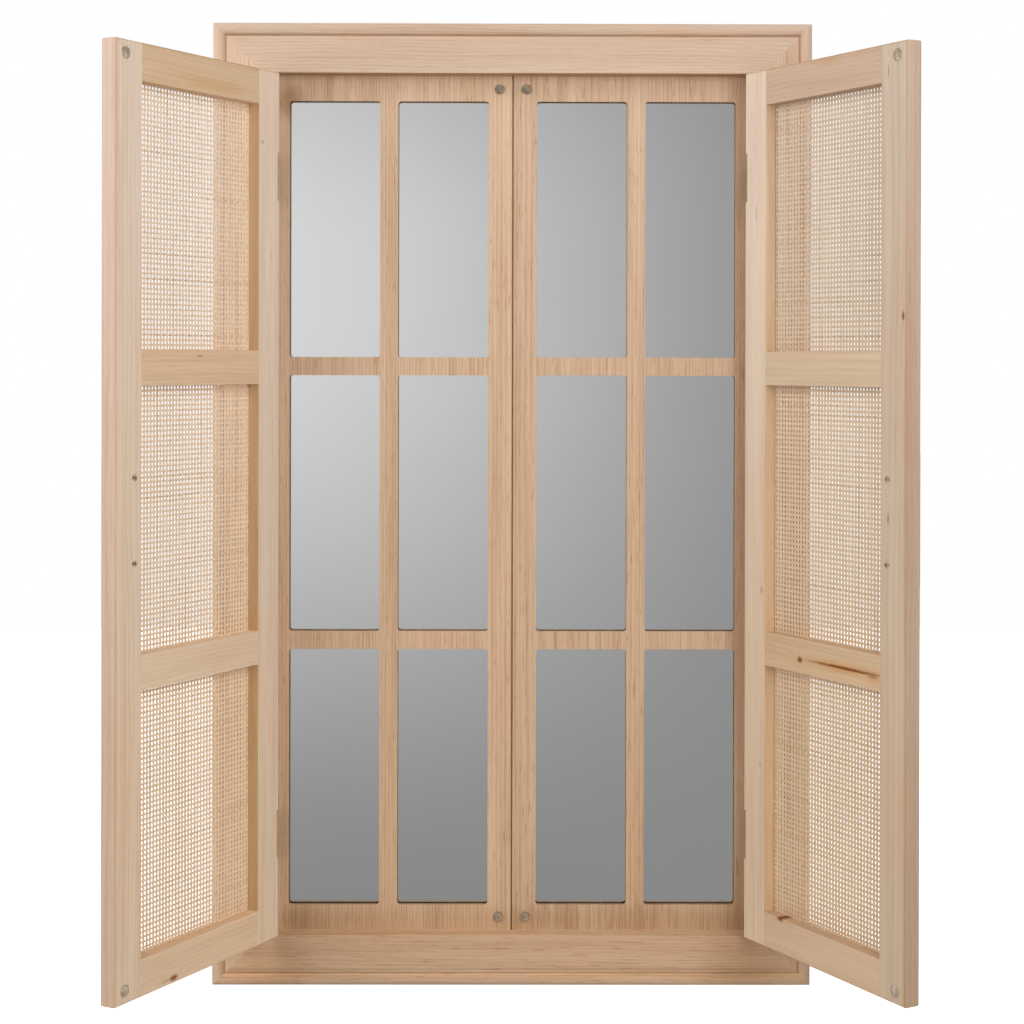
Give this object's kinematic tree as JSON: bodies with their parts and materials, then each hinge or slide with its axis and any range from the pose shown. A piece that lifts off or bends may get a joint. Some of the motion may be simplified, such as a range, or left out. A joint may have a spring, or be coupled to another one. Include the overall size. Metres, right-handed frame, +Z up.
{
  "type": "shutter mirror",
  "caption": "Wall mirror in a mitred wooden frame, seen through a window lattice, with two hinged shutters of woven cane that close over it.",
  "frame": {"origin": "centre of the frame's flat back, on the wall", "axes": "+Y points back into the wall, +Z up along the frame's height, +X to the viewer's right; the shutters stand open towards -Y"},
  "size_m": [0.7681, 0.2741, 1],
  "materials": {
    "frame_wood": "oak, sanded and left with a dull clear finish",
    "key_wood": "raw hardwood, hidden in the mitres",
    "lattice_veneer": "board faced with upright-grained oak veneer, dull clear finish",
    "shutter_wood": "pale solid wood, sanded, dull clear finish",
    "handle_wood": "pale solid wood, rounded and sanded smooth",
    "cane": "peeled rattan cane in a square open weave, natural and unvarnished",
    "mirror_glass": "clear float glass, silvered on its back",
    "back_board": "raw brown fibreboard",
    "hinge_steel": "dull steel",
    "catch_metal": "nickel-plated, slightly scuffed"
  },
  "bodies": {
    "frame": {"frame_top": "frame_wood", "frame_bottom": "frame_wood", "frame_left": "frame_wood", "frame_right": "frame_wood", "corner_keys": "key_wood", "lattice_left": "lattice_veneer", "lattice_right": "lattice_veneer", "mirror_glass": "mirror_glass", "back_board": "back_board", "back_board_screws": "hinge_steel", "catch_magnets": "catch_metal", "hanger_left": "hinge_steel", "hanger_right": "hinge_steel", "hanger_screws": "hinge_steel", "left_upper_frame_leaf": "hinge_steel", "left_lower_frame_leaf": "hinge_steel", "right_upper_frame_leaf": "hinge_steel", "right_lower_frame_leaf": "hinge_steel", "left_upper_pin": "hinge_steel", "left_lower_pin": "hinge_steel", "right_upper_pin": "hinge_steel", "right_lower_pin": "hinge_steel", "frame_leaf_screws": "hinge_steel"},
    "left_shutter": {"left_hinge_stile": "shutter_wood", "left_meeting_stile": "shutter_wood", "left_top_rail": "shutter_wood", "left_upper_rail": "shutter_wood", "left_lower_rail": "shutter_wood", "left_bottom_rail": "shutter_wood", "left_cane_top": "cane", "left_cane_middle": "cane", "left_cane_bottom": "cane", "left_handle": "handle_wood", "left_handle_screws": "hinge_steel", "left_strikes": "catch_metal", "left_upper_door_leaf": "hinge_steel", "left_lower_door_leaf": "hinge_steel", "left_leaf_screws": "hinge_steel"},
    "right_shutter": {"right_hinge_stile": "shutter_wood", "right_meeting_stile": "shutter_wood", "right_top_rail": "shutter_wood", "right_upper_rail": "shutter_wood", "right_lower_rail": "shutter_wood", "right_bottom_rail": "shutter_wood", "right_cane_top": "cane", "right_cane_middle": "cane", "right_cane_bottom": "cane", "right_handle": "handle_wood", "right_handle_screws": "hinge_steel", "right_strikes": "catch_metal", "right_upper_door_leaf": "hinge_steel", "right_lower_door_leaf": "hinge_steel", "right_leaf_screws": "hinge_steel"}
  },
  "joints": [
    {"name": "left_hinge", "type": "hinge", "parent": "frame", "child": "left_shutter", "pos_m": [-0.25825, -0.03825, 0], "axis": [0, 0, -1], "range_deg": [-118.1, 56.9]},
    {"name": "right_hinge", "type": "hinge", "parent": "frame", "child": "right_shutter", "pos_m": [0.25825, -0.03825, 0], "axis": [0, 0, 1], "range_deg": [-118.9, 56.1]}
  ]
}
